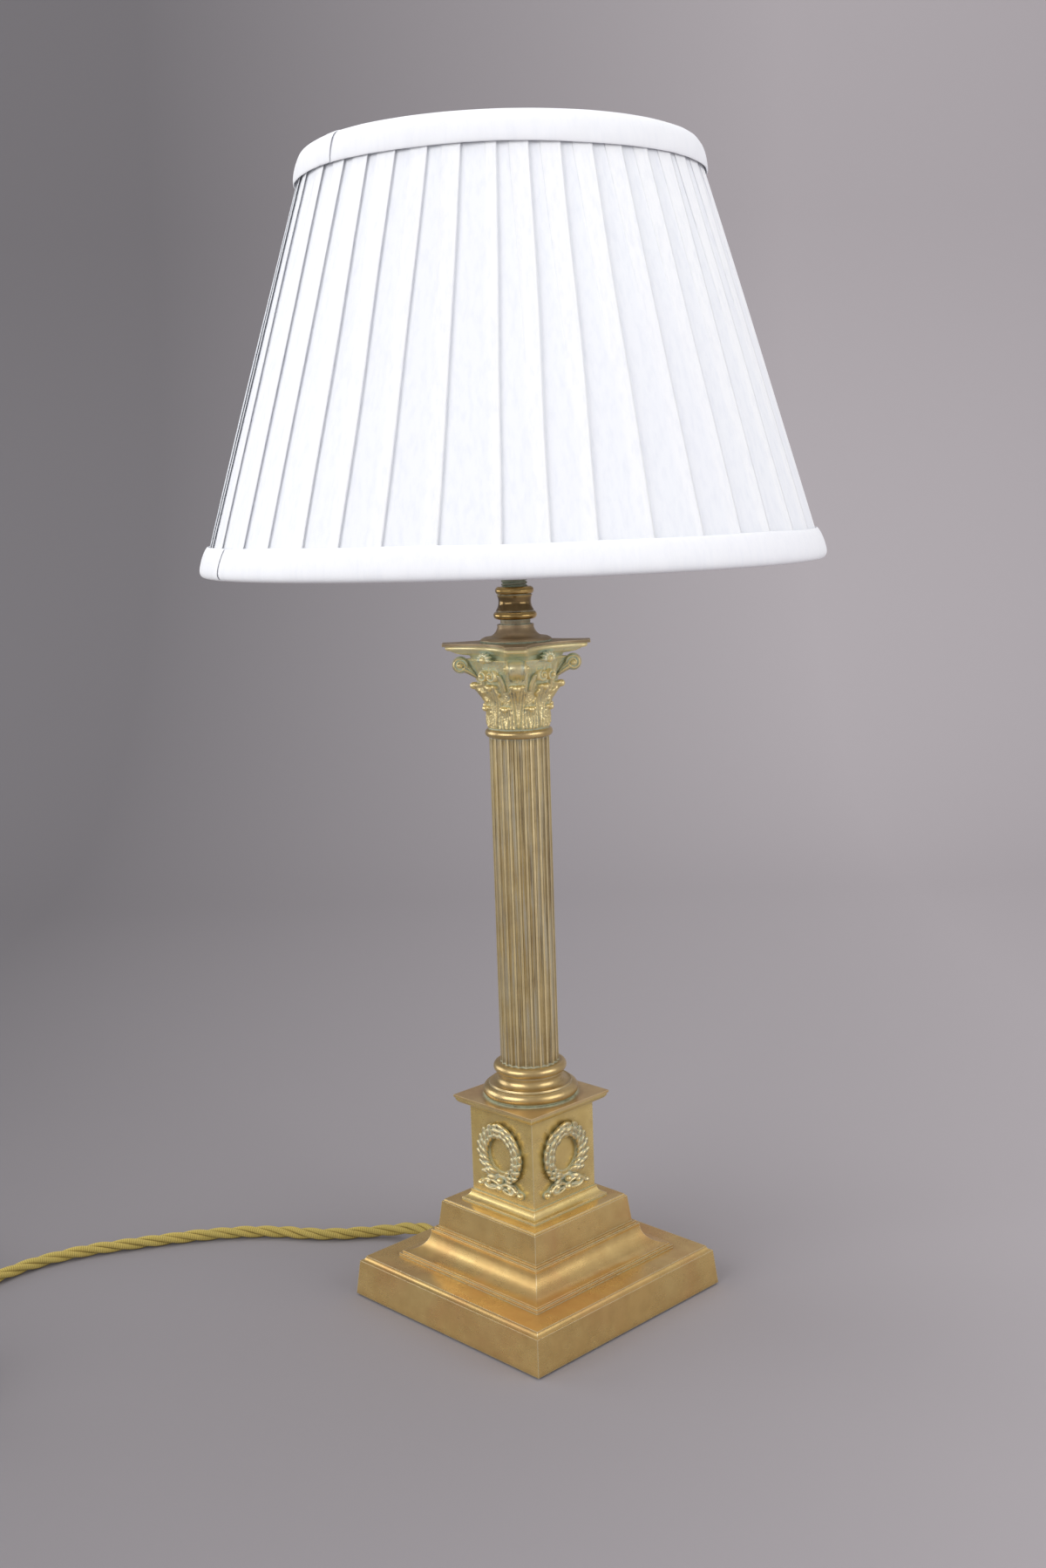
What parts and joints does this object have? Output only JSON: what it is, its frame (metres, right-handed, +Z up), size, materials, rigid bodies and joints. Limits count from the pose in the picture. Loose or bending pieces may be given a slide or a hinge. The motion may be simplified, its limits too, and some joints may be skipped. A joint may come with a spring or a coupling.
{
  "type": "column table lamp",
  "caption": "Corinthian column table lamp with a stepped square base, pleated tapered fabric shade, bayonet lampholder and twisted flex ending in a plug.",
  "frame": {"origin": "centre of the base's underside, on the surface that the lamp stands on", "axes": "+Z up along the column; the square base's sides lie along X and Y; the flex leaves at -X"},
  "size_m": [0.4707, 0.462, 0.5693],
  "materials": {
    "felt": "green baize",
    "card": "fibreboard",
    "iron": "rough cast",
    "brass_base": "aged satin, reddish on the ledges",
    "brass_pedestal": "aged satin, pale residue in the corners",
    "brass_cap_plate": "reddish tarnish",
    "brass_turned": "worn polish",
    "brass_shaft": "aged satin, pale residue in the flutes",
    "brass_capital": "aged, green in the hollows",
    "brass_dark_plate": "dark brown patina",
    "brass_bush": "dark polished",
    "brass_thread": "green-grey tarnish",
    "steel": "plain",
    "brass_holder": "clean satin",
    "insulator": "moulded",
    "bar_plastic": "moulded black",
    "pearl_glass": "pearl",
    "bulb_inner": "plain",
    "frame_wire": "white epoxy",
    "shade_cloth": "white pleated",
    "lining_cloth": "white",
    "trim_cloth": "white folded band",
    "flex_braid": "gold braid, twisted",
    "grommet_rubber": "brown",
    "plug_plastic": "moulded dark brown",
    "pin_brass": "bright"
  },
  "bodies": {
    "stand": {"felt_pad": "felt", "base_card": "card", "base_weight": "iron", "base_slab": "brass_base", "base_moulding": "brass_base", "plinth_block": "brass_base", "die_foot_moulding": "brass_pedestal", "pedestal_die": "brass_pedestal", "die_cornice": "brass_pedestal", "pedestal_cap_plate": "brass_cap_plate", "column_base": "brass_turned", "column_shaft": "brass_shaft", "astragal_ring": "brass_turned", "capital": "brass_capital", "abacus_plate": "brass_dark_plate", "vase_cap": "brass_bush", "neck_bush": "brass_bush", "tie_tube": "brass_thread", "tie_washer": "steel", "tie_nut": "brass_thread", "holder_cap": "brass_holder", "holder_body": "brass_holder", "holder_skirt": "brass_holder", "holder_insulator": "insulator", "plunger_springs": "steel", "terminal_screws": "pin_brass", "cord_grommet": "grommet_rubber", "inner_flex": "flex_braid", "cord_run": "flex_braid", "cord_coil": "flex_braid", "cord_tail": "flex_braid", "plug_cover": "plug_plastic", "plug_cover_screw": "pin_brass", "plug_base": "plug_plastic", "plug_pins": "pin_brass"},
    "shade": {"shade_bottom_ring": "frame_wire", "shade_top_ring": "frame_wire", "shade_ribs": "frame_wire", "shade_fitter": "frame_wire", "shade_lining": "lining_cloth", "shade_pleats": "shade_cloth", "shade_bottom_trim": "trim_cloth", "shade_top_trim": "trim_cloth"},
    "clamp_ring": {"shade_clamp_ring": "insulator"},
    "switch": {"switch_bar": "bar_plastic"},
    "bulb": {"bulb_cap": "brass_holder", "bulb_contacts": "insulator", "bulb_glass": "pearl_glass", "bulb_filament": "bulb_inner"},
    "plungers": {"contact_plungers": "pin_brass"}
  },
  "joints": [
    {"name": "shade_turn", "type": "hinge", "parent": "stand", "child": "shade", "pos_m": [0, 0, 0.4124], "axis": [0, 0, 1], "continuous": true},
    {"name": "clamp_ring_turn", "type": "hinge", "parent": "stand", "child": "clamp_ring", "pos_m": [0, 0, 0.4124], "axis": [0, 0, 1], "range_deg": [0, 1440]},
    {"name": "switch_press", "type": "slide", "parent": "stand", "child": "switch", "axis": [0, -1, 0], "range_m": [0, 0.005]},
    {"name": "bulb_press", "type": "slide", "parent": "stand", "child": "bulb", "axis": [0, 0, 1], "range_m": [-0.0025, 0], "stiffness_N_per_m": 2000, "springref_m": 0.003},
    {"name": "plunger_press", "type": "slide", "parent": "stand", "child": "plungers", "axis": [0, 0, 1], "range_m": [-0.0025, 0], "stiffness_N_per_m": 400, "springref_m": 0.003, "deforming": ["plunger_springs"]}
  ],
  "couplings": [
    {"joint": "plunger_press", "follows": "bulb_press", "ratio": 1}
  ]
}
